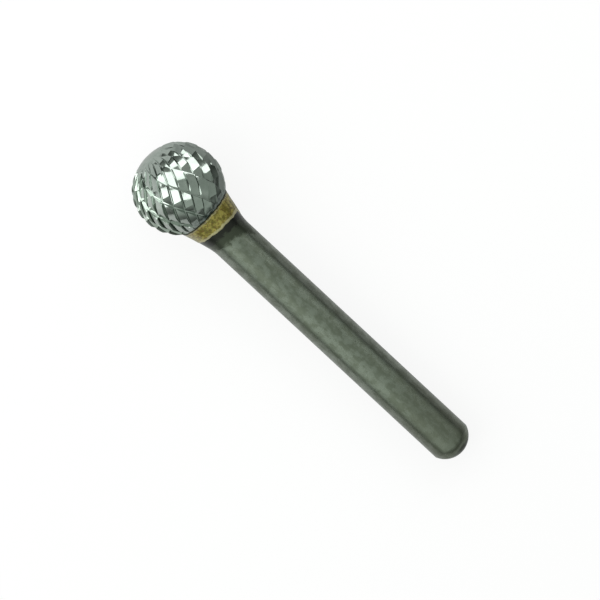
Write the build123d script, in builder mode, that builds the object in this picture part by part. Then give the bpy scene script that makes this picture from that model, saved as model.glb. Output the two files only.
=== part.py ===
from build123d import *

import os
from math import asin, atan2, cos, degrees, floor, hypot, pi, radians, sin, sqrt, tan

# A ball-shaped, double-cut carbide burr: a toothed ball of cemented carbide, brazed to a steel
# shank with a tapered neck. It lies on its side, on the ball and on the rim of the shank's end.
# Millimetres and degrees. A polar angle is measured at the ball's centre, from the tip, and a
# turn is measured about the tool's axis. Drops are measured from the ball's centre to the shank.

# Overall sizes
ball_diameter = 12.7
shank_diameter = 6.0
overall_length = 59.5

# The tip is ground to a flatter dome
tip_flattening = 0.3
tip_dome_radius = 7.3

# Right-hand flutes, which cut. Places across the flute are shares of its pitch, counted from
# the cutting edge: steep rake face, gullet, steeper heel, then the tooth's back.
flute_count = 24
flute_depth = 0.45
flute_lead = -33.4  # turn for each radian of polar angle, negative for right-hand
rake_foot = 0.05
gullet_end = 0.13
heel_end = 0.24
heel_depth = 0.33

# Left-hand chip breakers, which notch the teeth: steep wall, floor, long sloping wall, no cut
breaker_count = 13
breaker_depth = 0.48
breaker_lead = 25.0
breaker_foot = 0.03
breaker_floor_end = 0.10
breaker_end = 0.58
breaker_turn = -2.0  # turn from a cutting edge to a breaker's steep wall, at the equator

# Both kinds of groove run out before the tip, and grow shallow towards the seat. These are the
# polar angles where a groove has no depth left, and where it has all of it.
tip_run_out = 17.0
tip_full_depth = 33.0
seat_full_depth = 118.0
seat_run_out = 145.0

# Brazed joint between the head and the shank
seat_diameter = 8.3
braze_gap = 0.12
collar_height = 2.3
collar_lip = 0.05

# Shank
neck_top_diameter = 8.1
neck_angle = 12.9
neck_blend_radius = 8.0
end_dome_radius = 3.2

# Sizes that follow
ball_radius = ball_diameter / 2
shank_radius = shank_diameter / 2
seat_radius = seat_diameter / 2
neck_top_radius = neck_top_diameter / 2
seat_drop = sqrt(ball_radius**2 - seat_radius**2)
tip_height = ball_radius - tip_flattening
end_drop = overall_length - tip_height
dome_depth = end_dome_radius - sqrt(end_dome_radius**2 - shank_radius**2)
rim_drop = end_drop - dome_depth
neck_top_drop = seat_drop + braze_gap
neck_end_drop = neck_top_drop + (neck_top_radius - shank_radius) / tan(radians(neck_angle))
collar_foot_drop = seat_drop + collar_height
collar_foot_radius = neck_top_radius - (collar_foot_drop - neck_top_drop) * tan(radians(neck_angle))
flute_pitch = 360 / flute_count
breaker_pitch = 360 / breaker_count

# At rest two cutting edges straddle the ball's lowest point, and the rim of the shank's end
# touches as well, so the axis slopes down from the ball to the shank.
helix_angle = atan2(radians(abs(flute_lead)), 1)
centre_height = ball_radius * cos(radians(flute_pitch / 2) * cos(helix_angle))
slope = asin(centre_height / hypot(rim_drop, shank_radius)) - atan2(shank_radius, rim_drop)
flute_turn = 180 - flute_pitch / 2 - flute_lead * slope

# The tool's plane lies at the ball's centre: Z points to the tip and X up from the floor
tool = Plane(
    origin=((tip_height - overall_length / 2) * cos(slope), 0, centre_height),
    x_dir=(sin(slope), 0, cos(slope)),
    z_dir=(-cos(slope), 0, sin(slope)),
)
profile = Plane(origin=tool.origin, x_dir=tool.x_dir, z_dir=-tool.y_dir)
axis = Axis(tool.origin, tool.z_dir)

# Corners of each groove's section: place across the pitch, and depth
flute_section = [
    (0, 0),
    (rake_foot, flute_depth),
    (gullet_end, flute_depth),
    (heel_end, heel_depth),
    (1, 0),
]
breaker_section = [
    (0, 0),
    (breaker_foot, breaker_depth),
    (breaker_floor_end, breaker_depth),
    (breaker_end, 0),
    ((breaker_end + 1) / 2, 0),
    (1, 0),
]

# The facets run from inside the smooth tip to past the brazing face, which then cuts them off
cap_polar = radians(tip_run_out / 2)
foot_polar = pi - asin(seat_radius / ball_radius) + 2 * max(flute_depth, breaker_depth) / ball_radius
same_angle = 1e-6  # radians
same_depth = 1e-9


def depth_at(section, place):
    """Depth of a groove at a place given in pitches."""
    share = place - floor(place)
    for (start, low), (end, high) in zip(section, section[1:]):
        if share <= end:
            return low + (high - low) * (share - start) / (end - start)


def polar_at(place):
    """Polar angle, in radians, where a line along the flutes crosses one along the breakers."""
    flute, breaker = place
    turn = breaker_turn + breaker_pitch * breaker - flute_pitch * flute
    return pi / 2 - turn / (breaker_lead - flute_lead)


def excess(place):
    """How much deeper the flute cuts than the breaker does."""
    return depth_at(flute_section, place[0]) - depth_at(breaker_section, place[1])


def blank_radius(polar):
    """Distance from the ball's centre to the surface before the grooves are cut."""
    drop = tip_dome_radius - tip_height
    dome = sqrt(tip_dome_radius**2 - (drop * sin(polar)) ** 2) - drop * cos(polar)
    return min(ball_radius, dome)


def surface_point(place):
    """Point of the toothed surface, from its places across the flutes and the breakers."""
    polar = polar_at(place)
    turn = radians(flute_turn + flute_pitch * place[0] + flute_lead * (polar - pi / 2))
    from_tip = (degrees(polar) - tip_run_out) / (tip_full_depth - tip_run_out)
    from_seat = (seat_run_out - degrees(polar)) / (seat_run_out - seat_full_depth)
    rise = min(max(min(from_tip, from_seat), 0), 1)
    depth = max(depth_at(flute_section, place[0]), depth_at(breaker_section, place[1]))
    radius = blank_radius(polar) - depth * sin(polar) * rise**2 * (3 - 2 * rise)
    across = radius * sin(polar)
    return tool.from_local_coords(Vector(across * cos(turn), across * sin(turn), radius * cos(polar)))


def clip(polygon, value):
    """Part of a polygon where a value that is linear over it isn't negative."""
    kept = []
    for point, following in zip(polygon, polygon[1:] + polygon[:1]):
        here, there = value(point), value(following)
        if here >= -same_depth:
            kept.append(point)
        if min(here, there) < -same_depth and max(here, there) > same_depth:
            share = here / (here - there)
            kept.append(tuple(a + (b - a) * share for a, b in zip(point, following)))
    return kept


def cells():
    """Outlines of the surface's even patches, as places across the flutes and the breakers."""
    spread = breaker_lead - flute_lead
    for tooth in range(flute_count):
        lowest = (pi / 2 - foot_polar) * spread - breaker_turn + flute_pitch * tooth
        highest = (pi / 2 - cap_polar) * spread - breaker_turn + flute_pitch * (tooth + 1)
        notches = range(floor(lowest / breaker_pitch), floor(highest / breaker_pitch) + 1)
        for (left, _), (right, _) in zip(flute_section, flute_section[1:]):
            for notch in notches:
                for (low, _), (high, _) in zip(breaker_section, breaker_section[1:]):
                    start, end = (tooth + left, notch + low), (tooth + right, notch + high)
                    patch = [start, (end[0], start[1]), end, (start[0], end[1])]
                    patch = clip(patch, lambda place: polar_at(place) - cap_polar)
                    patch = clip(patch, lambda place: foot_polar - polar_at(place))
                    yield clip(patch, excess)
                    if any(excess(place) < -same_depth for place in patch):
                        yield clip(patch, lambda place: -excess(place))


def toothed_ball():
    """Solid of flat facets on the toothed surface, closed at the tip and under the seat."""
    facets = []
    ends = {cap_polar: tip_height, foot_polar: -ball_radius}
    for patch in cells():
        if len(patch) < 3:
            continue
        points = [surface_point(place) for place in patch]
        for second, third in zip(points[1:-1], points[2:]):
            facets.append(Face(Wire.make_polygon([points[0], second, third])))
        for index, place in enumerate(patch):
            before = patch[index - 1]
            for polar, height in ends.items():
                if abs(polar_at(place) - polar) + abs(polar_at(before) - polar) < same_angle:
                    centre = tool.from_local_coords(Vector(0, 0, height))
                    facets.append(Face(Wire.make_polygon([points[index], points[index - 1], centre])))
    return Solid(Shell(facets))


with BuildPart() as carbide_head:
    add(toothed_ball())
    split(bisect_by=tool.offset(-seat_drop), keep=Keep.TOP)

with BuildPart() as braze_joint:
    with BuildSketch(profile):
        with BuildLine():
            Polyline(
                (0, -seat_drop),
                (seat_radius, -seat_drop),
                (neck_top_radius + collar_lip, -neck_top_drop),
                (collar_foot_radius + collar_lip, -collar_foot_drop),
                (collar_foot_radius, -collar_foot_drop),
                (neck_top_radius, -neck_top_drop),
                (0, -neck_top_drop),
                close=True,
            )
        make_face()
    revolve(axis=axis)

with BuildPart() as steel_shank:
    with BuildSketch(profile):
        with BuildLine():
            Polyline(
                (0, -end_drop),
                (0, -neck_top_drop),
                (neck_top_radius, -neck_top_drop),
                (shank_radius, -neck_end_drop),
                (shank_radius, -rim_drop),
            )
            CenterArc(
                center=(0, end_dome_radius - end_drop),
                radius=end_dome_radius,
                start_angle=-90,
                arc_size=degrees(asin(shank_radius / end_dome_radius)),
            )
        make_face()
        fillet(vertices().sort_by_distance((shank_radius, -neck_end_drop))[0], neck_blend_radius)
    revolve(axis=axis)

os.makedirs("parts", exist_ok=True)

carbide_head.part.label = "carbide_head"
export_step(carbide_head.part, "parts/carbide_head.step")

braze_joint.part.label = "braze_joint"
export_step(braze_joint.part, "parts/braze_joint.step")

steel_shank.part.label = "steel_shank"
export_step(steel_shank.part, "parts/steel_shank.step")
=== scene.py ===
"""A ball-shaped carbide burr, dressed for its portrait.

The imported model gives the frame. Three surfaces stand for its three nodes: the ground carbide
head, the uneven brazed joint and the steel shank with its heat stains. All of them are worked
out on the tool's own axes, which lie a few degrees off the floor.
"""

import logging
from dataclasses import dataclass
from enum import Enum
from math import asin, atan2, cos, hypot, pi, radians, sin, sqrt, tan

import bpy
import bmesh
import numpy as np
from mathutils import Matrix, Vector


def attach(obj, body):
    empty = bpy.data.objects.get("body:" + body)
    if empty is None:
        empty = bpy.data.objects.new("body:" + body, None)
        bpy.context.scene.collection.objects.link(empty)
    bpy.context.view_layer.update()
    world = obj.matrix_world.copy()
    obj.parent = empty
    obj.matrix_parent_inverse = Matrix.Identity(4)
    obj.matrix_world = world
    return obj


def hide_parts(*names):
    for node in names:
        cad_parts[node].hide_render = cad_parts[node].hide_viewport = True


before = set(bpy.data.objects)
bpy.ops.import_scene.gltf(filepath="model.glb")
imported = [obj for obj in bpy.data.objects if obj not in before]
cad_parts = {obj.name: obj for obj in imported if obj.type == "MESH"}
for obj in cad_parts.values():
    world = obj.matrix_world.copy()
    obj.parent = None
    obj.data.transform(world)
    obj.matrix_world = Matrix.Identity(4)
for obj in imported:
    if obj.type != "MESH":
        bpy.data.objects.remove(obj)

log = logging.getLogger("burr")

MM = 0.001
NOISE_ROUGHNESS = 0.6
UPWARDS = (0.0, 0.0, 1.0)
TO_PLUS_Y = (0.0, 1.0, 0.0)

Point = tuple[float, float, float]
Colour = tuple[float, float, float]
Socket = bpy.types.NodeSocket
Input = Socket | float | tuple[float, ...]


def tint(red: int, green: int, blue: int) -> Colour:
    """Linear colour of an sRGB one given in steps of 255.

    A level s is s / 12.92 up to 0.04045, and ((s + 0.055) / 1.055)^2.4 above that.

    Args:
        red, green, blue: the sRGB channels.

    Returns:
        The linear channels.
    """
    levels = np.array([red, green, blue]) / 255
    linear = np.where(levels <= 0.04045, levels / 12.92, ((levels + 0.055) / 1.055) ** 2.4)
    return tuple(float(level) for level in linear)


def smoothstep(share: np.ndarray) -> np.ndarray:
    """Eases a share from 0 to 1 with level ends: 3 s^2 - 2 s^3, clipped outside."""
    share = np.clip(share, 0, 1)
    return share**2 * (3 - 2 * share)


def bell(turn: np.ndarray, middle: float, width: float) -> np.ndarray:
    """Bell curve of the turn: exp(-x^2), where x is the turn from the middle over the width."""
    return np.exp(-(((turn - middle + pi) % (2 * pi) - pi) / width) ** 2)


@dataclass(frozen=True)
class Ramp:
    """An eased change of a value: low at the start, high at the end, a smoothstep between."""

    start: float
    end: float
    low: float = 0.0
    high: float = 1.0

    def moved(self, by: float) -> "Ramp":
        """The same change with its start and its end moved along."""
        return Ramp(self.start + by, self.end + by, self.low, self.high)


@dataclass(frozen=True)
class Grain:
    """Noise of one kind: the width of its features in millimetres, its octaves, and a shift."""

    size: float
    octaves: float = 3.0
    shift: Point | None = None


# ---------------------------------------------------------------- the tool's sizes and axes


@dataclass(frozen=True)
class Sizes:
    """Driving sizes of the burr, in metres and degrees, as its construction has them."""

    ball_radius: float = 6.35 * MM
    shank_radius: float = 3.0 * MM
    overall_length: float = 59.5 * MM
    tip_flattening: float = 0.3 * MM
    tip_dome_radius: float = 7.3 * MM
    flute_count: int = 24
    flute_depth: float = 0.45 * MM
    flute_lead: float = -33.4
    rake_foot: float = 0.05
    gullet_end: float = 0.13
    heel_end: float = 0.24
    heel_depth: float = 0.33 * MM
    breaker_count: int = 13
    breaker_depth: float = 0.48 * MM
    breaker_lead: float = 25.0
    breaker_foot: float = 0.03
    breaker_floor_end: float = 0.10
    breaker_end: float = 0.58
    breaker_turn: float = -2.0
    tip_run_out: float = 17.0
    tip_full_depth: float = 33.0
    seat_full_depth: float = 118.0
    seat_run_out: float = 145.0
    seat_radius: float = 4.15 * MM
    braze_gap: float = 0.12 * MM
    collar_height: float = 2.3 * MM
    neck_top_radius: float = 4.05 * MM
    neck_angle: float = 12.9
    neck_blend_radius: float = 8.0 * MM
    end_dome_radius: float = 3.2 * MM

    @property
    def tip_height(self) -> float:
        """Height of the ground tip above the ball's centre."""
        return self.ball_radius - self.tip_flattening

    @property
    def seat_drop(self) -> float:
        """Drop from the ball's centre to its brazing face."""
        return sqrt(self.ball_radius**2 - self.seat_radius**2)

    @property
    def end_drop(self) -> float:
        """Drop from the ball's centre to the far end of the shank."""
        return self.overall_length - self.tip_height

    @property
    def rim_drop(self) -> float:
        """Drop to where the shank's cylinder meets its domed end."""
        return self.end_drop - self.end_dome_radius + sqrt(self.end_dome_radius**2 - self.shank_radius**2)

    @property
    def neck_top_drop(self) -> float:
        """Drop to the flat top of the neck, under the braze."""
        return self.seat_drop + self.braze_gap

    @property
    def neck_end_drop(self) -> float:
        """Drop to where the neck's cone would meet the cylinder."""
        narrowing = self.neck_top_radius - self.shank_radius
        return self.neck_top_drop + narrowing / tan(radians(self.neck_angle))

    @property
    def flute_pitch(self) -> float:
        """Turn from one cutting edge to the next."""
        return 360 / self.flute_count

    @property
    def breaker_pitch(self) -> float:
        """Turn from one chip breaker to the next."""
        return 360 / self.breaker_count

    @property
    def centre_height(self) -> float:
        """Height of the ball's centre when two cutting edges straddle its lowest point."""
        helix = atan2(radians(abs(self.flute_lead)), 1)
        return self.ball_radius * cos(radians(self.flute_pitch / 2) * cos(helix))

    @property
    def slope(self) -> float:
        """Slope of the tool's axis, resting on the ball and on the rim of the shank's end."""
        lean = asin(self.centre_height / hypot(self.rim_drop, self.shank_radius))
        return lean - atan2(self.shank_radius, self.rim_drop)

    @property
    def flute_turn(self) -> float:
        """Turn of the first cutting edge, at the ball's equator."""
        return 180 - self.flute_pitch / 2 - self.flute_lead * self.slope


SIZES = Sizes()


@dataclass(frozen=True)
class Axes:
    """The tool's own axes: X up from the floor, Z along the axis to the tip."""

    origin: Vector
    x: Vector
    y: Vector
    z: Vector

    @classmethod
    def at_rest(cls, sizes: Sizes) -> "Axes":
        """Axes of the burr as it lies, from its sizes.

        Args:
            sizes: the burr's driving sizes.

        Returns:
            The axes, with their origin at the ball's centre.
        """
        lean = sizes.slope
        centre = (sizes.tip_height - sizes.overall_length / 2) * cos(lean)
        return cls(
            origin=Vector((centre, 0, sizes.centre_height)),
            x=Vector((sin(lean), 0, cos(lean))),
            y=Vector((0, 1, 0)),
            z=Vector((-cos(lean), 0, sin(lean))),
        )

    def place(self, across: np.ndarray, turn: np.ndarray, height: np.ndarray) -> np.ndarray:
        """Points from cylinder coordinates: origin + across (cos t x + sin t y) + height z.

        Args:
            across: distances from the axis.
            turn: turns about the axis, in radians.
            height: heights above the ball's centre, towards the tip.

        Returns:
            The points, in an array with one more dimension.
        """
        axes = [np.array(axis) for axis in (self.x, self.y, self.z)]
        parts = [across * np.cos(turn), across * np.sin(turn), height + 0 * turn]
        return np.array(self.origin) + sum(p[..., None] * a for p, a in zip(parts, axes))


AXES = Axes.at_rest(SIZES)


# ---------------------------------------------------------------- meshes


def sheet_mesh(
    name: str, points: np.ndarray, wrap: bool = False, keep: np.ndarray | None = None
) -> bpy.types.Mesh:
    """Mesh of quads on a grid of points.

    Args:
        name: name of the mesh.
        points: rows by columns by three.
        wrap: whether the last column joins the first.
        keep: one flag for each quad, or None for all.

    Returns:
        The new mesh.
    """
    rows, columns = points.shape[:2]
    index = np.arange(rows * columns).reshape(rows, columns)
    if wrap:
        index = np.concatenate([index, index[:, :1]], axis=1)
    quads = np.stack([index[:-1, :-1], index[:-1, 1:], index[1:, 1:], index[1:, :-1]], axis=-1)
    quads = quads.reshape(-1, 4)
    if keep is not None:
        quads = quads[keep.ravel()]
    mesh = bpy.data.meshes.new(name)
    mesh.from_pydata(points.reshape(-1, 3).tolist(), [], quads.tolist())
    return mesh


def mark_points(mesh: bpy.types.Mesh, name: str, values: np.ndarray) -> None:
    """Gives each point of a mesh a number, for its finish to read."""
    layer = mesh.attributes.new(name, "FLOAT", "POINT")
    layer.data.foreach_set("value", np.ascontiguousarray(values, dtype=np.float32).ravel())


def finish_mesh(mesh: bpy.types.Mesh, merge: float, sharp: float) -> None:
    """Merges doubles, closes holes, turns the faces outwards and shades smooth up to an angle.

    Args:
        mesh: the mesh to finish.
        merge: distance within which points are one.
        sharp: angle, in degrees, past which an edge stays sharp.
    """
    shell = bmesh.new()
    shell.from_mesh(mesh)
    bmesh.ops.remove_doubles(shell, verts=shell.verts, dist=merge)
    bmesh.ops.dissolve_degenerate(shell, edges=shell.edges, dist=merge)
    rims = [edge for edge in shell.edges if edge.is_boundary]
    if rims:
        bmesh.ops.holes_fill(shell, edges=rims)
    bmesh.ops.recalc_face_normals(shell, faces=shell.faces)
    shell.to_mesh(mesh)
    shell.free()
    mesh.polygons.foreach_set("use_smooth", np.ones(len(mesh.polygons), dtype=bool))
    mesh.set_sharp_from_angle(angle=radians(sharp))


class Solid(Enum):
    """A node of the frame, with the record's material slot for it."""

    HEAD = ("carbide_head", "cemented_carbide")
    BRAZE = ("braze_joint", "brazing_alloy")
    SHANK = ("steel_shank", "shank_steel")


def add_piece(
    name: str, mesh: bpy.types.Mesh, solid: Solid, material: bpy.types.Material
) -> bpy.types.Object:
    """Puts a mesh in the scene, in place of a solid of the frame.

    Args:
        name: name of the piece.
        mesh: its mesh, already in place.
        solid: the solid that it stands for.
        material: its finish.

    Returns:
        The new object.
    """
    node, slot = solid.value
    piece = bpy.data.objects.new(name, mesh)
    bpy.context.scene.collection.objects.link(piece)
    mesh.materials.append(material)
    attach(piece, "root")
    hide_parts(node)
    log.info("%s: %d faces", name, len(mesh.polygons))
    return piece


# ---------------------------------------------------------------- the carbide head


@dataclass(frozen=True)
class CarbideHead:
    """The double-cut ball: right-hand flutes, crossed by left-hand chip breakers."""

    sizes: Sizes
    axes: Axes
    heel_steps: int = 4
    back_steps: int = 6
    slope_steps: int = 4
    land_steps: int = 14
    tip_steps: int = 6
    merge: float = 0.0002 * MM
    sharp_angle: float = 7.0

    @property
    def flute_corners(self) -> np.ndarray:
        """Corners of a flute's section, as shares of its pitch."""
        s = self.sizes
        return np.array([0, s.rake_foot, s.gullet_end, s.heel_end, 1])

    def flute_shares(self) -> np.ndarray:
        """Places of the columns across one flute: its corners, with steps on heel and back.

        Returns:
            Shares of the flute's pitch.
        """
        s = self.sizes
        heel = np.linspace(s.gullet_end, s.heel_end, self.heel_steps + 1)
        back = np.linspace(s.heel_end, 1, self.back_steps + 1)[1:]
        return np.concatenate([[0, s.rake_foot], heel, back])

    def flute_depth(self, share: np.ndarray) -> np.ndarray:
        """Depth of the flute's section, in straight lines from corner to corner.

        Args:
            share: places across the flute, as shares of its pitch.

        Returns:
            The depths.
        """
        s = self.sizes
        depths = [0, s.flute_depth, s.flute_depth, s.heel_depth, 0]
        return np.interp(share, self.flute_corners, depths)

    def breaker_rows(self, flute_depth: np.ndarray) -> tuple[np.ndarray, np.ndarray]:
        """Places and depths down one breaker's pitch, fitted to the flute's depth beside it.

        The breaker's steep wall and its sloping wall end where they come out at the flute's
        depth, so those two rows are set at that depth: the rows follow the teeth's corners.

        Args:
            flute_depth: depths of the flute, one for each column.

        Returns:
            Shares of the pitch and depths of the breaker, rows by columns.
        """
        s = self.sizes
        level = np.minimum(flute_depth, s.breaker_depth)[None, :]
        flat = np.zeros_like(level)
        rise = (s.breaker_end - s.breaker_floor_end) / s.breaker_depth
        crossing = s.breaker_end - rise * level
        slope = np.linspace(0, 1, self.slope_steps + 1)[:, None]
        land = np.linspace(0, 1, self.land_steps + 1)[1:, None]
        slope_places = s.breaker_floor_end + (crossing - s.breaker_floor_end) * slope
        slope_depths = s.breaker_depth + (level - s.breaker_depth) * slope
        places = [flat, s.breaker_foot * level / s.breaker_depth, flat + s.breaker_foot]
        depths = [flat, level, flat + s.breaker_depth]
        places += [slope_places, crossing + (1 - crossing) * land]
        depths += [slope_depths, flat + 0 * land]
        return np.concatenate(places), np.concatenate(depths)

    def blank_radius(self, polar: np.ndarray) -> np.ndarray:
        """Distance to the uncut surface: the nearer of the ball and the flatter tip dome.

        The dome is a sphere whose centre lies below the ball's, so that it passes through the tip.

        Args:
            polar: polar angles from the tip, in radians.

        Returns:
            The distances from the ball's centre.
        """
        s = self.sizes
        drop = s.tip_dome_radius - s.tip_height
        dome = np.sqrt(s.tip_dome_radius**2 - (drop * np.sin(polar)) ** 2) - drop * np.cos(polar)
        return np.minimum(s.ball_radius, dome)

    def surface(self, flute: np.ndarray, polar: np.ndarray, depth: np.ndarray) -> np.ndarray:
        """Points of the head.

        A flute's line turns by its lead for each radian of polar angle. The depth fades in from
        the tip and out towards the seat as smoothsteps, and shrinks with the sine of the polar
        angle, as the pitch does. Each strip between two corners of the flute's section is ground
        flat, so its radius is that of the chord between them.

        Args:
            flute: places across the flutes, in pitches.
            polar: polar angles from the tip, in radians.
            depth: depths of the cut.

        Returns:
            The points, in an array with one more dimension.
        """
        s = self.sizes
        turn = np.radians(s.flute_turn + s.flute_pitch * flute + s.flute_lead * (polar - pi / 2))
        angle = np.degrees(polar)
        tip_share = (angle - s.tip_run_out) / (s.tip_full_depth - s.tip_run_out)
        seat_share = (s.seat_run_out - angle) / (s.seat_run_out - s.seat_full_depth)
        rise = smoothstep(np.minimum(tip_share, seat_share))
        corners = self.flute_corners
        share = flute - np.floor(flute)
        strip = np.clip(np.searchsorted(corners, share, side="right") - 1, 0, len(corners) - 2)
        middle = (corners[strip] + corners[strip + 1]) / 2
        pitch = radians(s.flute_pitch)
        half = (corners[strip + 1] - corners[strip]) / 2 * pitch
        chord = np.cos(half) / np.cos((share - middle) * pitch)
        radius = self.blank_radius(polar) - depth * np.sin(polar) * rise
        radius = radius * (1 + rise * (chord - 1))
        return self.axes.place(radius * np.sin(polar), turn, radius * np.cos(polar))

    def mesh(self) -> bpy.types.Mesh:
        """Closed mesh of the toothed ball, cut flat at its brazing face.

        Columns run along the flutes and rows along the breakers, from inside the smooth tip to
        well below the brazing face, which then cuts them off. Past the last polar angle at either
        end, a point stays on that end's circle.

        Returns:
            The mesh.
        """
        s = self.sizes
        spread = s.breaker_lead - s.flute_lead
        cap = radians(s.tip_run_out / 2)
        foot = pi - asin(s.seat_radius / s.ball_radius) + 2 * s.breaker_depth / s.ball_radius
        shares = self.flute_shares()
        level = self.flute_depth(shares)
        rows, cuts = self.breaker_rows(level)
        parts = []
        for tooth in range(s.flute_count):
            flute = tooth + shares
            lowest = (pi / 2 - foot) * spread - s.breaker_turn + s.flute_pitch * tooth
            highest = (pi / 2 - cap) * spread - s.breaker_turn + s.flute_pitch * (tooth + 1)
            first, last = np.floor(lowest / s.breaker_pitch), np.floor(highest / s.breaker_pitch)
            notches = np.arange(first, last + 1)
            breaker = (notches[:, None, None] + rows).reshape(-1, len(shares))
            depth = np.tile(np.maximum(cuts, level), (len(notches), 1))
            turn = s.breaker_turn + s.breaker_pitch * breaker - s.flute_pitch * flute
            polar = pi / 2 - turn / spread
            inside = (polar > cap) & (polar < foot)
            touched = inside[:-1, :-1] | inside[:-1, 1:] | inside[1:, 1:] | inside[1:, :-1]
            across = np.broadcast_to(flute, polar.shape)
            points = self.surface(across, np.clip(polar, cap, foot), depth)
            parts.append(sheet_mesh("tooth", points, keep=touched))
            tip = np.linspace(0, cap, self.tip_steps + 1)[:, None] + 0 * flute
            tip_points = self.surface(np.broadcast_to(flute, tip.shape), tip, 0 * tip)
            parts.append(sheet_mesh("tip", tip_points))
        shell = bmesh.new()
        for part in parts:
            shell.from_mesh(part)
            bpy.data.meshes.remove(part)
        bmesh.ops.remove_doubles(shell, verts=shell.verts, dist=self.merge)
        everything = [*shell.verts, *shell.edges, *shell.faces]
        seat = self.axes.origin - self.axes.z * s.seat_drop
        bmesh.ops.bisect_plane(
            shell, geom=everything, plane_co=seat, plane_no=-self.axes.z, clear_outer=True
        )
        mesh = bpy.data.meshes.new("carbide_head")
        shell.to_mesh(mesh)
        shell.free()
        finish_mesh(mesh, self.merge, self.sharp_angle)
        return mesh

    def build(self, material: bpy.types.Material) -> bpy.types.Object:
        """Makes the head and puts it in the scene."""
        return add_piece("toothed_ball", self.mesh(), Solid.HEAD, material)


# ---------------------------------------------------------------- the brazed joint


@dataclass(frozen=True)
class BrazeJoint:
    """The collar of brazing alloy, which has run down unevenly over the neck.

    A run is its length in millimetres and the middle and width of its bell curve: a wide sag, a
    lower one on the +Y side and a narrow drip in it. A wave is its height in millimetres, its
    count around the collar and its phase. A lump's wave is its count around, its radians from top
    to bottom and its phase.
    """

    sizes: Sizes
    axes: Axes
    lip: float = 0.05 * MM
    bite: float = 0.15 * MM
    rounded_from: float = 0.93
    rounded_over: float = 0.07
    runs: tuple[Point, ...] = ((0.28, 0.5, 1.2), (0.45, 1.3, 0.6), (0.95, 1.55, 0.22))
    waves: tuple[Point, ...] = ((0.05, 3, 0.6), (0.04, 8, 2.0), (0.03, 19, 0.0))
    lumps: tuple[Point, ...] = ((5, 9, 0), (11, -7, 1), (19, 0, 3))
    lump_height: float = 0.012 * MM
    turns: int = 360
    down: int = 40
    merge: float = 0.0001 * MM
    sharp_angle: float = 30.0

    def edge_drop(self, turn: np.ndarray) -> np.ndarray:
        """Drop of the lower edge: the collar's height, plus the waves, plus the runs.

        Args:
            turn: turns about the axis, in radians.

        Returns:
            The drops from the ball's centre.
        """
        s = self.sizes
        run = sum(length * bell(turn, middle, width) for length, middle, width in self.runs)
        waves = sum(height * np.sin(count * turn + phase) for height, count, phase in self.waves)
        return s.seat_drop + s.collar_height + (waves + run) * MM

    def mesh(self) -> bpy.types.Mesh:
        """Closed ring: the outer skin follows the neck's cone, and its back is inside the neck.

        The skin stands proud of the cone by the lip, which is rounded off as a quarter ellipse at
        the lower edge, by a swell up to the ball's seat that falls with the cube of the share
        still to go, and by lumps that die out at both edges.

        Returns:
            The mesh, with the share of the way down as its attribute "down".
        """
        s = self.sizes
        turn = np.linspace(0, 2 * pi, self.turns, endpoint=False)[None, :]
        share = np.linspace(0, 1, self.down)[:, None]
        bottom = self.edge_drop(turn)
        drop = s.seat_drop + (bottom - s.seat_drop) * share
        taper = tan(radians(s.neck_angle))
        cone = s.neck_top_radius - (drop - s.neck_top_drop) * taper
        swell = (s.seat_radius - s.neck_top_radius - s.braze_gap * taper) * (1 - share) ** 3
        rounding = np.clip((share - self.rounded_from) / self.rounded_over, 0, 1)
        thick = self.lip * (1 - rounding**2) ** 0.5
        lumps = sum(np.sin(around * turn + along * share + phase) for around, along, phase in self.lumps)
        lumps = self.lump_height * lumps * (1 - share) ** 0.5 * share**0.5
        outer = cone + np.maximum(swell, 0) + thick + lumps
        back = np.broadcast_to(cone - self.bite, outer.shape)
        across = np.concatenate([outer, back[::-1]])
        drops = np.concatenate([drop, drop[::-1]])
        points = self.axes.place(across, np.broadcast_to(turn, across.shape), -drops)
        points = np.concatenate([points, points[:1]])
        mesh = sheet_mesh("braze_joint", points, wrap=True)
        down = np.concatenate([share, share[::-1], share[:1]]) + 0 * turn
        mark_points(mesh, "down", down)
        finish_mesh(mesh, self.merge, self.sharp_angle)
        return mesh

    def build(self, material: bpy.types.Material) -> bpy.types.Object:
        """Makes the collar and puts it in the scene."""
        return add_piece("braze_collar", self.mesh(), Solid.BRAZE, material)


# ---------------------------------------------------------------- the steel shank


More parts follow.
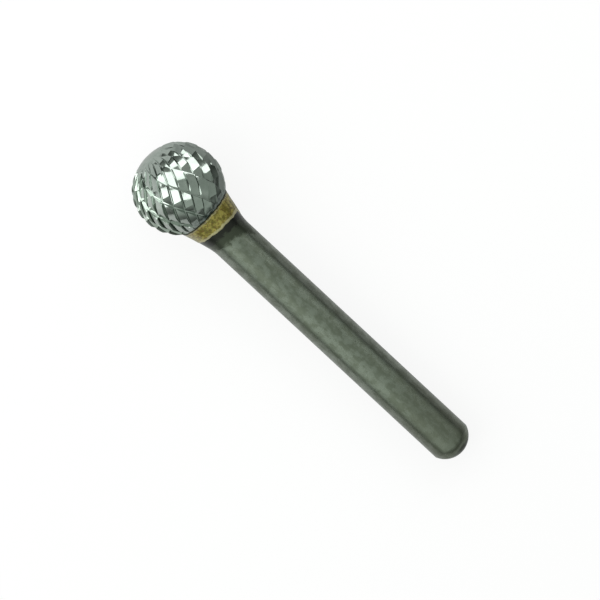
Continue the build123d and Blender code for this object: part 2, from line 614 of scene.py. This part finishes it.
@dataclass(frozen=True)
class SteelShank:
    """The turned shank: tapered neck, blend, cylinder and domed end.

    The steel is scorched from just under the braze, and further down the side where it has run.
    """

    sizes: Sizes
    axes: Axes
    turns: int = 256
    neck_steps: int = 24
    blend_steps: int = 16
    body_steps: int = 60
    dome_steps: int = 28
    scorched_from: float = 0.2 * MM
    scorched_length: float = 3.0 * MM
    run_turn: float = 1.3
    run_width: float = 0.8
    run_from: float = 0.4 * MM
    run_length: float = 2.4 * MM
    merge: float = 0.0001 * MM
    sharp_angle: float = 25.0

    def profile(self) -> tuple[np.ndarray, np.ndarray]:
        """Radii and drops from the flat top to the far end.

        The neck is a straight cone, then an arc tangent to it and to the cylinder, then the
        cylinder, and the dome is an arc about a point on the axis.

        Returns:
            Two arrays of the same length.
        """
        s = self.sizes
        angle = radians(s.neck_angle)
        reach = s.neck_blend_radius * tan(angle / 2)
        start_drop = s.neck_end_drop - reach * cos(angle)
        start_radius = s.shank_radius + reach * sin(angle)
        neck = np.linspace(0, 1, self.neck_steps, endpoint=False)
        blend = np.linspace(angle, 0, self.blend_steps)
        body = np.linspace(0, 1, self.body_steps)[1:]
        dome = np.linspace(asin(s.shank_radius / s.end_dome_radius), 0, self.dome_steps)[1:]
        body_start = s.neck_end_drop + reach
        radii = [
            [0.0],
            s.neck_top_radius + (start_radius - s.neck_top_radius) * neck,
            s.shank_radius + s.neck_blend_radius * (1 - np.cos(blend)),
            s.shank_radius + 0 * body,
            s.end_dome_radius * np.sin(dome),
        ]
        drops = [
            [s.neck_top_drop],
            s.neck_top_drop + (start_drop - s.neck_top_drop) * neck,
            body_start - s.neck_blend_radius * np.sin(blend),
            body_start + (s.rim_drop - body_start) * body,
            s.end_drop - s.end_dome_radius * (1 - np.cos(dome)),
        ]
        return np.concatenate(radii), np.concatenate(drops)

    def scorching(self, turn: np.ndarray, drop: np.ndarray) -> np.ndarray:
        """How scorched the steel is: 1 down to a start, and falling evenly to 0 over a length.

        Both are greater on the side where the braze has run, by a bell curve of the turn.

        Args:
            turn: turns about the axis, in radians.
            drop: drops from the ball's centre.

        Returns:
            The shares, from 0 to 1.
        """
        s = self.sizes
        run = bell(turn, self.run_turn, self.run_width)
        start = s.seat_drop + s.collar_height + self.scorched_from + self.run_from * run
        length = self.scorched_length + self.run_length * run
        return np.clip(1 - (drop - start) / length, 0, 1)

    def mesh(self) -> bpy.types.Mesh:
        """The profile turned about the axis: each ring is a circle of its radius at its drop.

        Returns:
            The closed mesh, with how scorched it is as its attribute "scorching".
        """
        radii, drops = self.profile()
        turn = np.linspace(0, 2 * pi, self.turns, endpoint=False)[None, :]
        across = radii[:, None] + 0 * turn
        points = self.axes.place(across, turn + 0 * across, -drops[:, None])
        mesh = sheet_mesh("steel_shank", points, wrap=True)
        mark_points(mesh, "scorching", self.scorching(turn, drops[:, None]))
        finish_mesh(mesh, self.merge, self.sharp_angle)
        return mesh

    def build(self, material: bpy.types.Material) -> bpy.types.Object:
        """Makes the shank and puts it in the scene."""
        return add_piece("turned_shank", self.mesh(), Solid.SHANK, material)


# ---------------------------------------------------------------- finishes


@dataclass(frozen=True)
class Nodes:
    """A small wrapper for writing a node tree."""

    tree: bpy.types.NodeTree

    def add(self, kind: str, **values) -> bpy.types.Node:
        """Adds a node.

        Args:
            kind: its type.
            values: properties of the node, or inputs by name with _ for a space.

        Returns:
            The new node.
        """
        node = self.tree.nodes.new(kind)
        for key, value in values.items():
            if hasattr(node, key):
                setattr(node, key, value)
            else:
                node.inputs[key.replace("_", " ")].default_value = value
        return node

    def join(self, source: Socket, target: Socket) -> None:
        """Links two sockets."""
        self.tree.links.new(source, target)

    def feed(self, target: Socket, value: Input) -> None:
        """Links a socket to another one, or sets it to a plain value.

        Args:
            target: the input socket.
            value: an output socket, a number or a tuple of numbers.
        """
        if isinstance(value, Socket):
            self.join(value, target)
        else:
            target.default_value = value

    def fed(self, kind: str, *sources: Input, **values) -> bpy.types.Node:
        """Adds a node and feeds its first inputs.

        Args:
            kind: its type.
            sources: what each input takes, in order.
            values: its properties, as for add.

        Returns:
            The new node.
        """
        node = self.add(kind, **values)
        for target, source in zip(node.inputs, sources):
            self.feed(target, source)
        return node

    def math(self, operation: str, *values: Input) -> Socket:
        """Result of a Math node on one to three values."""
        return self.fed("ShaderNodeMath", *values, operation=operation).outputs[0]

    def vector(self, operation: str, *values: Input) -> Socket:
        """Result of a Vector Math node: a number for a dot product or a length, or a vector."""
        outputs = self.fed("ShaderNodeVectorMath", *values, operation=operation).outputs
        return outputs["Value" if operation in ("DOT_PRODUCT", "LENGTH") else "Vector"]

    def combine(self, *values: Input) -> Socket:
        """Vector of three values."""
        return self.fed("ShaderNodeCombineXYZ", *values).outputs[0]

    def noise(self, place: Socket, grain: Grain) -> Socket:
        """Adds noise.

        Args:
            place: the vector that it follows, in millimetres.
            grain: its size, octaves and shift.

        Returns:
            The noise, mostly between 0.3 and 0.7.
        """
        if grain.shift is not None:
            place = self.vector("ADD", place, grain.shift)
        node = self.add(
            "ShaderNodeTexNoise", Scale=1 / grain.size, Detail=grain.octaves, Roughness=NOISE_ROUGHNESS
        )
        self.join(place, node.inputs["Vector"])
        return node.outputs[0]

    def wander(self, value: Socket, place: Socket, grain: Grain, reach: float) -> Socket:
        """Value plus noise times its reach, so that an edge drawn where it lies is ragged."""
        return self.math("MULTIPLY_ADD", self.noise(place, grain), reach, value)

    def ease(self, value: Socket, ramp: Ramp) -> Socket:
        """Puts a value through a ramp.

        Args:
            value: the value.
            ramp: the eased change that it makes.

        Returns:
            The ramp's height there.
        """
        node = self.add("ShaderNodeMapRange", interpolation_type="SMOOTHSTEP")
        self.join(value, node.inputs["Value"])
        limits = {"From Min": ramp.start, "From Max": ramp.end, "To Min": ramp.low, "To Max": ramp.high}
        for name, number in limits.items():
            node.inputs[name].default_value = number
        return node.outputs["Result"]

    def blend(self, share: Input, first: Input, second: Input) -> Socket:
        """Mixes two colours.

        Args:
            share: share of the second.
            first: colour at share 0.
            second: colour at share 1.

        Returns:
            The mixture.
        """
        node = self.add("ShaderNodeMix", data_type="RGBA")
        share_input, first_input, second_input = node.inputs[0], node.inputs[6], node.inputs[7]
        self.feed(share_input, share)
        for target, colour in ((first_input, first), (second_input, second)):
            self.feed(target, colour if isinstance(colour, Socket) else (*colour, 1))
        return node.outputs[2]

    def lay(self, colour: Socket, *layers: tuple[Socket, Ramp, Colour]) -> Socket:
        """Lays tones over a colour, one after the other.

        Args:
            colour: the colour underneath.
            layers: for each tone, a value, the ramp that turns it into a share, and the tone.

        Returns:
            The colour on top.
        """
        for value, ramp, tone in layers:
            colour = self.blend(self.ease(value, ramp), colour, tone)
        return colour

    def bump(self, height: Socket, depth: float) -> Socket:
        """Bends the normal by a fine relief.

        Args:
            height: the relief, from 0 to 1.
            depth: its full depth, in metres.

        Returns:
            The bent normal.
        """
        node = self.add("ShaderNodeBump", Strength=1.0, Distance=depth)
        self.join(height, node.inputs["Height"])
        return node.outputs["Normal"]

    def show(self, share: Socket, first: bpy.types.Node, second: bpy.types.Node, output: str) -> None:
        """Mixes two shaders, and shows the mixture.

        Args:
            share: share of the second.
            first: shader at share 0.
            second: shader at share 1.
            output: type of the output node.
        """
        mix = self.fed("ShaderNodeMixShader", share, first.outputs[0], second.outputs[0])
        self.join(mix.outputs[0], self.add(output).inputs["Surface"])


@dataclass(frozen=True)
class ToolSpace:
    """A surface point's place about the tool's axis, in millimetres and radians."""

    place: Socket
    side: Socket
    height: Socket
    turn: Socket
    polar: Socket

    @classmethod
    def of(cls, nodes: Nodes, axes: Axes) -> "ToolSpace":
        """Reads it from Object coordinates.

        The place is the point's offset from the ball's centre, along the tool's axes, and the
        side and the height are its Y and Z. The turn is the arc tangent of its Y over its X, and
        the polar angle the arc cosine of its height over its distance.

        Args:
            nodes: the material's nodes.
            axes: the tool's axes.

        Returns:
            Its sockets.
        """
        point = nodes.add("ShaderNodeTexCoord").outputs["Object"]
        offset = nodes.vector("SUBTRACT", point, tuple(axes.origin))
        scaled = [tuple(axis / MM) for axis in (axes.x, axes.y, axes.z)]
        x, side, height = (nodes.vector("DOT_PRODUCT", offset, axis) for axis in scaled)
        place = nodes.combine(x, side, height)
        polar = nodes.math("ARCCOSINE", nodes.math("DIVIDE", height, nodes.vector("LENGTH", place)))
        return cls(place, side, height, nodes.math("ARCTAN2", side, x), polar)


def metal(name: str) -> tuple[bpy.types.Material, Nodes, bpy.types.Node]:
    """Starts a metal finish.

    Args:
        name: name of the material.

    Returns:
        The material, its nodes and its shader.
    """
    material = bpy.data.materials.new(name)
    material.use_nodes = True
    shader = material.node_tree.nodes["Principled BSDF"]
    shader.inputs["Metallic"].default_value = 1
    return material, Nodes(material.node_tree), shader


@dataclass(frozen=True)
class GroundCarbide:
    """Mirror-bright ground carbide, tarnished at its seat, with dirt and painted shade in its gullets and
    a painted highlight on its -Y side.

    Heights above the seat and sides are in millimetres, and the ramps across a flute or a breaker
    are in shares of its pitch.
    """

    sizes: Sizes
    axes: Axes
    pale: Colour = (0.44, 0.49, 0.455)
    deep: Colour = (0.37, 0.42, 0.385)
    # a painted highlight, laid on the -Y side
    painted_highlight: Colour = (0.66, 0.72, 0.67)
    tarnish: Colour = (0.05, 0.08, 0.07)
    # dark dirt with painted shade, laid in the gullets
    dirt_and_shade: Colour = (0.06, 0.09, 0.065)
    clouds: Grain = Grain(1.6)
    cloud_share: Ramp = Ramp(0.35, 0.65)
    tarnish_edge: Grain = Grain(0.7)
    tarnish_reach: float = 3.0
    tarnish_share: Ramp = Ramp(1.3, 2.5, 0.92, 0.0)
    # ramp of the painted highlight across the side, then those of the gullets' dirt and painted shade
    highlight_side: Ramp = Ramp(-4.1, -0.95, 0.8, 0.0)
    dirt_and_shade_mouth: Ramp = Ramp(0.20, 0.27, 1.0, 0.0)
    dirt_and_shade_notch: Ramp = Ramp(0.08, 0.14)
    dirt_and_shade_side: Ramp = Ramp(-4.8, -2.2, 0.85, 0.35)
    lines: Grain = Grain(0.09, 2.0)
    line_drift: float = 0.5
    line_depth: float = 0.0006 * MM
    smears: Grain = Grain(0.5)
    roughness: Ramp = Ramp(0.35, 0.75, 0.05, 0.16)

    def place_across(
        self, nodes: Nodes, space: ToolSpace, lead: float, start: float, pitch: float
    ) -> Socket:
        """Place across a kind of groove, as a share of its pitch.

        It is the fraction of (turn - start - lead * (polar - pi / 2)) / pitch.

        Args:
            nodes: the material's nodes.
            space: the place in the tool's own space.
            lead: turn of the groove for each radian of polar angle, in degrees.
            start: turn of a groove at the equator, in degrees.
            pitch: turn from one groove to the next, in degrees.

        Returns:
            The share, from 0 to 1.
        """
        offset = radians(lead) * pi / 2 - radians(start)
        upright = nodes.math("MULTIPLY_ADD", space.polar, -radians(lead), offset)
        turned = nodes.math("ADD", space.turn, upright)
        return nodes.math("FRACT", nodes.math("DIVIDE", turned, radians(pitch)))

    def dirt_and_shade_share(self, nodes: Nodes, space: ToolSpace) -> Socket:
        """Share of dirt and painted shade: in the gullets, but not where a breaker has cut them through.

        It grows with the flutes below the smooth tip, and is heavier on the -Y side, as painted shade.

        Args:
            nodes: the material's nodes.
            space: the place in the tool's own space.

        Returns:
            The share.
        """
        s = self.sizes
        flute = self.place_across(nodes, space, s.flute_lead, s.flute_turn, s.flute_pitch)
        breaker_turn = s.flute_turn + s.breaker_turn
        breaker = self.place_across(nodes, space, s.breaker_lead, breaker_turn, s.breaker_pitch)
        limits = (
            (flute, self.dirt_and_shade_mouth),
            (breaker, self.dirt_and_shade_notch),
            (space.polar, Ramp(radians(s.tip_run_out), radians(s.tip_full_depth))),
            (space.side, self.dirt_and_shade_side),
        )
        share = nodes.ease(flute, Ramp(0.0, s.rake_foot))
        for value, ramp in limits:
            share = nodes.math("MULTIPLY", share, nodes.ease(value, ramp))
        return share

    def grinding_lines(self, nodes: Nodes, space: ToolSpace) -> Socket:
        """Normal of the grinding lines, which follow the flutes.

        They are noise on the turn less the flute's own turn, nearly constant down the flute.

        Args:
            nodes: the material's nodes.
            space: the place in the tool's own space.

        Returns:
            The bent normal.
        """
        lead = radians(self.sizes.flute_lead)
        upright = nodes.math("SUBTRACT", space.turn, nodes.math("MULTIPLY", space.polar, lead))
        across = nodes.math("MULTIPLY", upright, self.sizes.ball_radius / MM)
        down = nodes.math("MULTIPLY", space.polar, self.line_drift)
        return nodes.bump(nodes.noise(nodes.combine(across, down, 0.0), self.lines), self.line_depth)

    def material(self) -> bpy.types.Material:
        """Makes the finish.

        Clouds blend the pale and the deep colour. The tarnish fades out over a millimetre or so
        above the seat, with a ragged edge, the -Y side is lighter as a painted highlight, and the dirt
        and painted shade of the gullets and the grinding lines lie over all of it. Smears vary the
        roughness.

        Returns:
            The material.
        """
        material, nodes, shader = metal("ground_carbide")
        space = ToolSpace.of(nodes, self.axes)
        clouds = nodes.ease(nodes.noise(space.place, self.clouds), self.cloud_share)
        edge = nodes.wander(space.height, space.place, self.tarnish_edge, self.tarnish_reach)
        seat = -self.sizes.seat_drop / MM
        colour = nodes.lay(
            nodes.blend(clouds, self.pale, self.deep),
            (edge, self.tarnish_share.moved(seat), self.tarnish),
            # painted highlight: the -Y side is made lighter
            (space.side, self.highlight_side, self.painted_highlight),
        )
        # painted shade, with some dirt, darkens the gullets, more on the -Y side
        colour = nodes.blend(self.dirt_and_shade_share(nodes, space), colour, self.dirt_and_shade)
        nodes.join(colour, shader.inputs["Base Color"])
        nodes.join(self.grinding_lines(nodes, space), shader.inputs["Normal"])
        smears = nodes.noise(space.place, self.smears)
        nodes.join(nodes.ease(smears, self.roughness), shader.inputs["Roughness"])
        return material


@dataclass(frozen=True)
class BrazingAlloy:
    """Olive-gold alloy, blotched and pitted by the flame, with painted highlights on its edges and side.

    The ramps of the rims are in shares of the way down, and that of the side's painted highlight in
    radians of turn.
    """

    axes: Axes
    olive: Colour = tint(124, 114, 30)
    gold: Colour = tint(190, 176, 84)
    brown: Colour = tint(120, 66, 26)
    # dark tone of the sooty pits and of the painted shade under the ball
    soot_and_shade: Colour = tint(62, 54, 20)
    # pale tone of the painted highlights
    edge: Colour = tint(216, 208, 164)
    clouds: Grain = Grain(0.55)
    gold_share: Ramp = Ramp(0.42, 0.62)
    # painted highlight on the -Y side
    painted_side_highlight: Ramp = Ramp(-1.2, -0.6, 0.6, 0.0)
    rust: Grain = Grain(0.33, shift=(7.0, 3.0, 1.0))
    rust_share: Ramp = Ramp(0.52, 0.68, 0.0, 0.75)
    pits: Grain = Grain(0.24, shift=(1.0, 9.0, 5.0))
    pit_share: Ramp = Ramp(0.58, 0.70, 0.0, 0.8)
    rim_reach: float = 0.22
    # painted highlight along the top of the collar
    upper_rim_highlight: Ramp = Ramp(0.20, 0.25, 0.5, 0.0)
    # painted shade in the crease under the ball
    shade_under_ball: Ramp = Ramp(0.14, 0.19, 0.9, 0.0)
    # painted highlight along the lower edge
    lower_rim_highlight: Ramp = Ramp(0.93, 1.02, 0.0, 0.8)
    roughness: Ramp = Ramp(0.35, 0.7, 0.50, 0.30)
    relief: Grain = Grain(0.3, 5.0)
    relief_depth: float = 0.03 * MM
    metallic: float = 0.8
    glaze: float = 1.0
    glaze_roughness: float = 0.25

    def material(self) -> bpy.types.Material:
        """Makes the finish.

        Clouds of half a millimetre blend olive and gold, the -Y side is paler as a painted highlight, and
        finer clouds add brown and sooty pits. The attribute "down", 0 at the ball and 1 at the lower
        edge, gives a line of painted shade under the ball, a painted highlight below it and another on
        the lower edge, all of them ragged. A thin glaze of flux lies over the alloy.

        Returns:
            The material.
        """
        material, nodes, shader = metal("brazing_alloy")
        shader.inputs["Metallic"].default_value = self.metallic
        shader.inputs["Coat Weight"].default_value = self.glaze
        shader.inputs["Coat Roughness"].default_value = self.glaze_roughness
        space = ToolSpace.of(nodes, self.axes)
        down = nodes.add("ShaderNodeAttribute", attribute_name="down").outputs["Fac"]
        clouds = nodes.noise(space.place, self.clouds)
        ragged = nodes.math("MULTIPLY_ADD", clouds, self.rim_reach, down)
        colour = nodes.lay(
            nodes.blend(nodes.ease(clouds, self.gold_share), self.olive, self.gold),
            # painted highlight: the -Y side is paler
            (space.turn, self.painted_side_highlight, self.edge),
            (nodes.noise(space.place, self.rust), self.rust_share, self.brown),
            (nodes.noise(space.place, self.pits), self.pit_share, self.soot_and_shade),
            # painted highlight below the ball, painted shade under it, painted highlight on the lower
            # edge
            (ragged, self.upper_rim_highlight, self.edge),
            (ragged, self.shade_under_ball, self.soot_and_shade),
            (ragged, self.lower_rim_highlight, self.edge),
        )
        nodes.join(colour, shader.inputs["Base Color"])
        nodes.join(nodes.ease(clouds, self.roughness), shader.inputs["Roughness"])
        relief = nodes.noise(space.place, self.relief)
        nodes.join(nodes.bump(relief, self.relief_depth), shader.inputs["Normal"])
        return material


@dataclass(frozen=True)
class OxidisedSteel:
    """Fine-ground steel under a thin mottled oxide, blackened by heat near the braze.

    The ramps of the worn part, the dome's staining and the coat are in millimetres above the ball's
    centre, and that of the painted shade on the +Y side in millimetres towards +Y.
    """

    axes: Axes
    bright: Colour = tint(147, 155, 142)
    oxide: Colour = tint(117, 125, 109)
    worn: Colour = tint(98, 102, 86)
    # dark staining of the dome, deepened towards +Y as painted shade
    dome_stain_and_shade: Colour = tint(28, 31, 24)
    speck: Colour = tint(72, 76, 64)
    smoke: Colour = tint(64, 72, 54)
    scorch: Colour = tint(18, 20, 6)
    clouds: Grain = Grain(1.4, 4.0)
    patches: Grain = Grain(0.5, 4.0)
    patch_stretch: Point = (1.0, 1.0, 0.35)
    patch_weight: float = 0.6
    bright_share: Ramp = Ramp(0.66, 0.94)
    wear: Grain = Grain(2.5)
    wear_reach: float = 14.0
    wear_share: Ramp = Ramp(-30.0, -40.0, 0.0, 0.45)
    stain_edge: Grain = Grain(1.2)
    stain_reach: float = 0.6
    stain_share: Ramp = Ramp(-51.9, -52.5)
    # painted shade: the dome's staining grows towards +Y
    shaded_side: Ramp = Ramp(-1.6, 0.6, 0.1, 0.85)
    specks: Grain = Grain(0.35, 2.0, (3.0, 8.0, 2.0))
    speck_share: Ramp = Ramp(0.68, 0.76, 0.0, 0.7)
    scorch_edge: Grain = Grain(0.9, 5.0)
    scorch_reach: float = 0.9
    smoke_share: Ramp = Ramp(0.60, 0.84, 0.0, 0.95)
    scorch_share: Ramp = Ramp(1.04, 1.26, 0.0, 0.95)
    roughness: Ramp = Ramp(0.35, 0.65, 0.34, 0.24)
    coat_share: Ramp = Ramp(-52.1, -51.3)
    coat_roughness: float = 0.25
    relief_depth: float = 0.002 * MM

    def material(self) -> bpy.types.Material:
        """Makes the finish.

        Clouds of a millimetre and finer patches, drawn out along the shank, blend the bright
        steel and the oxide. The far part is worn darker, the dome has dark staining that painted shade
        deepens towards +Y, and dark specks are scattered. The attribute "scorching", 1 at the braze and 0
        beyond the heated neck, brings in smoke and then the scorched skin, with ragged edges. A thin
        oxide coats the shank down to its dome.

        Returns:
            The material.
        """
        material, nodes, shader = metal("shank_steel")
        space = ToolSpace.of(nodes, self.axes)
        heat = nodes.add("ShaderNodeAttribute", attribute_name="scorching").outputs["Fac"]
        clouds = nodes.noise(space.place, self.clouds)
        stretched = nodes.vector("MULTIPLY", space.place, self.patch_stretch)
        patches = nodes.noise(stretched, self.patches)
        mottle = nodes.math("MULTIPLY_ADD", patches, self.patch_weight, clouds)
        wear = nodes.wander(space.height, space.place, self.wear, self.wear_reach)
        colour = nodes.lay(
            nodes.blend(nodes.ease(mottle, self.bright_share), self.oxide, self.bright),
            (wear, self.wear_share, self.worn),
        )
        dome = nodes.wander(space.height, space.place, self.stain_edge, self.stain_reach)
        # painted shade deepens the dome's staining towards +Y
        side = nodes.ease(space.side, self.shaded_side)
        stain_and_shade = nodes.math("MULTIPLY", nodes.ease(dome, self.stain_share), side)
        scorched = nodes.wander(heat, space.place, self.scorch_edge, self.scorch_reach)
        colour = nodes.lay(
            nodes.blend(stain_and_shade, colour, self.dome_stain_and_shade),
            (nodes.noise(space.place, self.specks), self.speck_share, self.speck),
            (scorched, self.smoke_share, self.smoke),
            (scorched, self.scorch_share, self.scorch),
        )
        nodes.join(colour, shader.inputs["Base Color"])
        nodes.join(nodes.ease(clouds, self.roughness), shader.inputs["Roughness"])
        nodes.join(nodes.ease(space.height, self.coat_share), shader.inputs["Coat Weight"])
        shader.inputs["Coat Roughness"].default_value = self.coat_roughness
        nodes.join(nodes.bump(patches, self.relief_depth), shader.inputs["Normal"])
        return material


# ---------------------------------------------------------------- the studio


@dataclass(frozen=True)
class Camera:
    """A distant camera above the burr, looking nearly straight down.

    The frame's width, and the ball's place in it from its top left corner, are in pixels, and a
    pixel's size is in metres on the burr.
    """

    axes: Axes
    frame_width: float = 600.0
    pixel: float = 0.1348 * MM
    tip_lean: float = 13.0
    side_turn: float = 4.0
    shank_fall: float = 42.88
    ball_place: tuple[float, float] = (178.7, 188.3)
    distance: float = 0.6
    clip: tuple[float, float] = (0.01, 10.0)

    def basis(self) -> tuple[Vector, Vector, Vector]:
        """Right, up and back of the view.

        The back vector leans from the tool's X towards Y by the side turn and towards the tip
        by the tip's lean. The view is rolled until the shank falls to the right.

        Returns:
            Three unit vectors.
        """
        lean, side, fall = (radians(a) for a in (self.tip_lean, self.side_turn, self.shank_fall))
        a = self.axes
        back = a.z * sin(lean) + (a.x * cos(side) + a.y * sin(side)) * cos(lean)
        tip = (a.z - back * a.z.dot(back)).normalized()
        left = back.cross(tip)
        right = -tip * cos(fall) - left * sin(fall)
        up = tip * sin(fall) - left * cos(fall)
        return right, up, back

    def build(self) -> None:
        """Makes the camera."""
        right, up, back = self.basis()
        half = self.frame_width / 2
        column, row = self.ball_place
        x, y = (column - half) * self.pixel, (half - row) * self.pixel
        data = bpy.data.cameras.new("portrait")
        data.type = "ORTHO"
        data.ortho_scale = self.frame_width * self.pixel
        data.clip_start, data.clip_end = self.clip
        camera = bpy.data.objects.new("portrait", data)
        bpy.context.scene.collection.objects.link(camera)
        place = self.axes.origin - right * x - up * y + back * self.distance
        turn = Matrix((right, up, back)).transposed().to_4x4()
        camera.matrix_world = Matrix.Translation(place) @ turn
        bpy.context.scene.camera = camera


@dataclass(frozen=True)
class SoftBox:
    """A rectangular soft box that faces the burr, placed by compass and height.

    The bearing is measured from +X towards +Y, and the radiance is that of a white surface at 1.
    """

    name: str
    bearing: float
    elevation: float
    width: float
    height: float
    radiance: float = 1.95
    distance: float = 0.45

    def build(self, target: Vector) -> None:
        """Makes the lamp. Its power is radiance times area times pi.

        Args:
            target: the point that it faces.
        """
        bearing, elevation = radians(self.bearing), radians(self.elevation)
        flat = Vector((cos(bearing), sin(bearing), 0))
        away = flat * cos(elevation) + Vector((0, 0, sin(elevation)))
        side = Vector((-sin(bearing), cos(bearing), 0))
        data = bpy.data.lights.new(self.name, "AREA")
        data.shape = "RECTANGLE"
        data.size, data.size_y = self.width, self.height
        data.energy = self.radiance * self.width * self.height * pi
        lamp = bpy.data.objects.new(self.name, data)
        bpy.context.scene.collection.objects.link(lamp)
        turn = Matrix((side, away.cross(side), away)).transposed().to_4x4()
        lamp.matrix_world = Matrix.Translation(target + away * self.distance) @ turn


@dataclass(frozen=True)
class Studio:
    """Pale floor, a dim room and soft boxes.

    The floor's ramps are in metres, along its lean and towards +Y.
    """

    floor_size: float = 6.0
    floor_white: float = 0.86
    floor_gloss: float = 0.12
    floor_paint: Colour = (0.95, 0.95, 0.95)
    floor_lean: Point = (-1.0, 0.0, 0.0)
    floor_along: Ramp = Ramp(25 * MM, 36 * MM, 0.45, 0.62)
    floor_across: Ramp = Ramp(6 * MM, 18 * MM, 0.0, -0.25)
    room_tone: Colour = (0.41, 0.45, 0.41)
    room_lean: Point = (0.0, -0.3, 0.0)
    room_rise: Ramp = Ramp(0.0, 0.5, 0.2, 1.1)
    soft_boxes: tuple[SoftBox, ...] = (
        SoftBox("over_the_tip", 172.0, 40.0, 1.00, 0.28),
        SoftBox("beside_left", 254.0, 51.0, 0.27, 0.27),
        SoftBox("beside_right", 102.0, 37.7, 0.25, 0.26),
        SoftBox("low_left", 246.0, 24.0, 0.29, 0.19, 1.9),
    )

    def floor(self) -> None:
        """Makes the floor: near white to the camera, with the shadow kept, and otherwise grey.

        The camera sees the white at its own share, over pale paint that takes the shadow. Light
        and reflections meet a diffuse grey instead, which is the sum of a ramp along the lean and
        a ramp towards +Y, with a little white in reflections.
        """
        size = self.floor_size
        mesh = bpy.data.meshes.new("floor")
        corners = [(-size, -size, 0), (size, -size, 0), (size, size, 0), (-size, size, 0)]
        mesh.from_pydata(corners, [], [(0, 1, 2, 3)])
        floor = bpy.data.objects.new("floor", mesh)
        bpy.context.scene.collection.objects.link(floor)
        material = bpy.data.materials.new("floor")
        material.use_nodes = True
        material.node_tree.nodes.clear()
        nodes = Nodes(material.node_tree)
        rays = nodes.add("ShaderNodeLightPath").outputs
        seen = nodes.math("MULTIPLY", rays["Is Camera Ray"], self.floor_white)
        share = nodes.math("MULTIPLY_ADD", rays["Is Glossy Ray"], self.floor_gloss, seen)
        place = nodes.add("ShaderNodeTexCoord").outputs["Object"]
        along = nodes.ease(nodes.vector("DOT_PRODUCT", place, self.floor_lean), self.floor_along)
        across = nodes.ease(nodes.vector("DOT_PRODUCT", place, TO_PLUS_Y), self.floor_across)
        grey = nodes.math("ADD", along, across)
        pale = nodes.add("ShaderNodeBsdfDiffuse")
        nodes.join(nodes.blend(rays["Is Camera Ray"], grey, self.floor_paint), pale.inputs["Color"])
        white = nodes.add("ShaderNodeEmission", Color=(1, 1, 1, 1), Strength=1.0)
        nodes.show(share, pale, white, "ShaderNodeOutputMaterial")
        mesh.materials.append(material)

    def world(self) -> None:
        """Makes the world: white to the camera, and otherwise a dim room, lighter to one side.

        The room's strength is 1 plus the dot product of the direction and the lean, times a ramp
        of the direction's height, which is dark at the horizon.
        """
        world = bpy.data.worlds.new("room")
        bpy.context.scene.world = world
        world.use_nodes = True
        world.node_tree.nodes.clear()
        nodes = Nodes(world.node_tree)
        rays = nodes.add("ShaderNodeLightPath").outputs
        direction = nodes.add("ShaderNodeTexCoord").outputs["Generated"]
        lean = nodes.math("ADD", nodes.vector("DOT_PRODUCT", direction, self.room_lean), 1.0)
        rise = nodes.ease(nodes.vector("DOT_PRODUCT", direction, UPWARDS), self.room_rise)
        white = nodes.add("ShaderNodeBackground", Color=(1, 1, 1, 1), Strength=1.0)
        room = nodes.add("ShaderNodeBackground", Color=(*self.room_tone, 1))
        nodes.join(nodes.math("MULTIPLY", lean, rise), room.inputs["Strength"])
        nodes.show(rays["Is Camera Ray"], room, white, "ShaderNodeOutputWorld")

    def build(self, target: Vector) -> None:
        """Makes the floor, the world and the lamps.

        Args:
            target: the point that the lamps face.
        """
        self.floor()
        self.world()
        for soft_box in self.soft_boxes:
            soft_box.build(target)


def main() -> None:
    """Builds the burr and its studio."""
    logging.basicConfig(level=logging.INFO, format="%(name)s %(message)s")
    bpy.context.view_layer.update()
    Camera(AXES).build()
    Studio().build(AXES.origin)
    CarbideHead(SIZES, AXES).build(GroundCarbide(SIZES, AXES).material())
    BrazeJoint(SIZES, AXES).build(BrazingAlloy(AXES).material())
    SteelShank(SIZES, AXES).build(OxidisedSteel(AXES).material())
    bpy.context.scene.view_settings.view_transform = "Standard"


if __name__ == "__main__":
    main()
